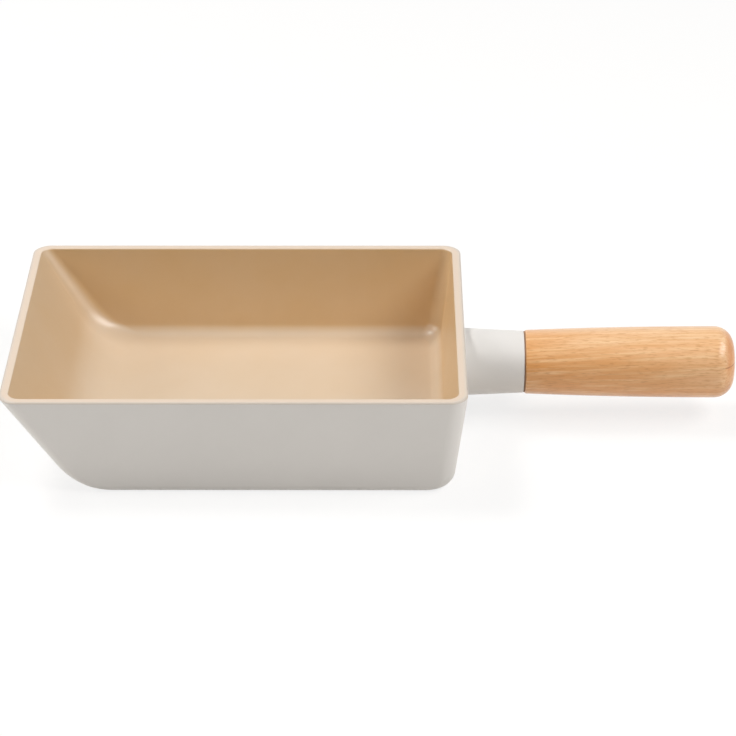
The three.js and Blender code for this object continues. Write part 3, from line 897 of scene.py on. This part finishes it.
def floor_finish():
    material, nodes, links, shader = new_material("pale floor")
    grain = noise(nodes, links, object_place(nodes), 40, detail=3)
    tone = mix_colours(nodes, links, grain, (0.82, 0.80, 0.77, 1), (0.84, 0.82, 0.79, 1))
    links.new(tone, shader.inputs["Base Color"])
    shader.inputs["Roughness"].default_value = 0.9
    shader.inputs["Specular IOR Level"].default_value = 0.0
    glow = nodes.new("ShaderNodeEmission")
    path = nodes.new("ShaderNodeLightPath")
    share = add_node(nodes, "ShaderNodeMath", operation="MULTIPLY")
    share.inputs[1].default_value = 0.72
    seen = add_node(nodes, "ShaderNodeMath", operation="MAXIMUM")
    links.new(path.outputs["Is Camera Ray"], seen.inputs[0])
    links.new(path.outputs["Is Glossy Ray"], seen.inputs[1])
    links.new(seen.outputs["Value"], share.inputs[0])
    glow.inputs["Strength"].default_value = 1.1
    both = nodes.new("ShaderNodeMixShader")
    links.new(share.outputs["Value"], both.inputs["Fac"])
    links.new(shader.outputs["BSDF"], both.inputs[1])
    links.new(glow.outputs["Emission"], both.inputs[2])
    links.new(both.outputs["Shader"], nodes["Material Output"].inputs["Surface"])
    return material


def add_floor():
    clear_selection()
    bpy.ops.mesh.primitive_plane_add(size=12, location=(0, 0, 0))
    floor = bpy.context.object
    floor.name = "studio_floor"
    settle(floor)
    floor.data.materials.append(floor_finish())


def add_area_lamp(name, place, aim, size, power):
    lamp = bpy.data.lights.new(name, "AREA")
    lamp.shape = "RECTANGLE"
    lamp.size, lamp.size_y = size
    lamp.energy = power
    holder = bpy.data.objects.new(name, lamp)
    bpy.context.collection.objects.link(holder)
    holder.location = place
    direction = Matrix.Translation(aim).translation - Matrix.Translation(place).translation
    holder.rotation_euler = direction.to_track_quat("-Z", "Y").to_euler()


def light_studio():
    middle = (0.02, 0, 0.02)
    add_area_lamp("right key", (0.92, -0.28, 1.05), middle, (1.0, 0.6), 12.0)
    add_area_lamp("right panel", (1.37, -0.2, 0.26), middle, (1.0, 0.5), 1.1)
    add_area_lamp("left key", (-0.59, 0.35, 1.23), middle, (0.6, 0.35), 10.6)
    add_area_lamp("left panel", (-1.19, 0, 0.72), middle, (0.8, 0.35), 4.2)
    add_area_lamp("front fill", (-0.64, -1.14, 0.5), middle, (0.6, 0.4), 2.3)
    world = bpy.data.worlds.new("studio")
    world.use_nodes = True
    bpy.context.scene.world = world
    nodes, links = world.node_tree.nodes, world.node_tree.links
    path = nodes.new("ShaderNodeLightPath")
    seen = calculate(nodes, links, "MAXIMUM", path.outputs["Is Camera Ray"], path.outputs["Is Transmission Ray"])
    seen = calculate(nodes, links, "MAXIMUM", seen, path.outputs["Is Glossy Ray"])
    strength = nodes.new("ShaderNodeMapRange")
    strength.inputs["To Min"].default_value = 0.02
    strength.inputs["To Max"].default_value = 1.0
    links.new(seen, strength.inputs["Value"])
    links.new(strength.outputs["Result"], nodes["Background"].inputs["Strength"])
    nodes["Background"].inputs["Color"].default_value = (1, 1, 1, 1)


def set_camera():
    camera = bpy.data.cameras.new("camera")
    camera.lens = CAMERA_LENS
    camera.clip_start, camera.clip_end = 0.05, 50
    holder = bpy.data.objects.new("camera", camera)
    bpy.context.collection.objects.link(holder)
    turn = Matrix.Rotation(CAMERA_TURN, 4, "Z")
    tilt = Matrix.Rotation(math.radians(90) - CAMERA_ELEVATION, 4, "X")
    roll = Matrix.Rotation(CAMERA_ROLL, 4, "Z")
    holder.matrix_world = Matrix.Translation(CAMERA_PLACE) @ turn @ tilt @ roll
    bpy.context.scene.camera = holder


def main():
    bpy.context.scene.view_settings.view_transform = "Standard"
    coat = fired_coat_group()
    lines = turned_lines_group()
    model_pan_body(outer_coat_finish(coat))
    model_lining(inner_coat_finish(coat))
    model_grip(wood_finish())
    model_gasket(gasket_finish())
    round_upright = ((1, 1, 0), (0, 0, 0))
    round_handle = ((0, 1, 1), (0, 0, -AXIS_HEIGHT))
    plate_steel = steel_finish(
        "brushed base steel", lines, round_upright, (0.50, 0.50, 0.51, 1), (0.66, 0.66, 0.67, 1), 0.34
    )
    model_plate(plate_steel)
    stud_metal = steel_finish(
        "bare cast metal", lines, round_upright, (0.62, 0.62, 0.61, 1), (0.74, 0.74, 0.73, 1), 0.42
    )
    model_studs(stud_metal)
    bright = steel_finish(
        "bright fastener steel", lines, round_handle, (0.52, 0.52, 0.52, 1), (0.68, 0.68, 0.67, 1), 0.3
    )
    for node in ("handle_screw", "flat_washer", "threaded_insert"):
        dress_node(node, bright)
    dark_spring = steel_finish(
        "dark spring steel", lines, round_handle, (0.30, 0.30, 0.31, 1), (0.44, 0.44, 0.44, 1), 0.38
    )
    dress_node("spring_washer", dark_spring)
    add_floor()
    light_studio()
    set_camera()


main()
clear_selection()
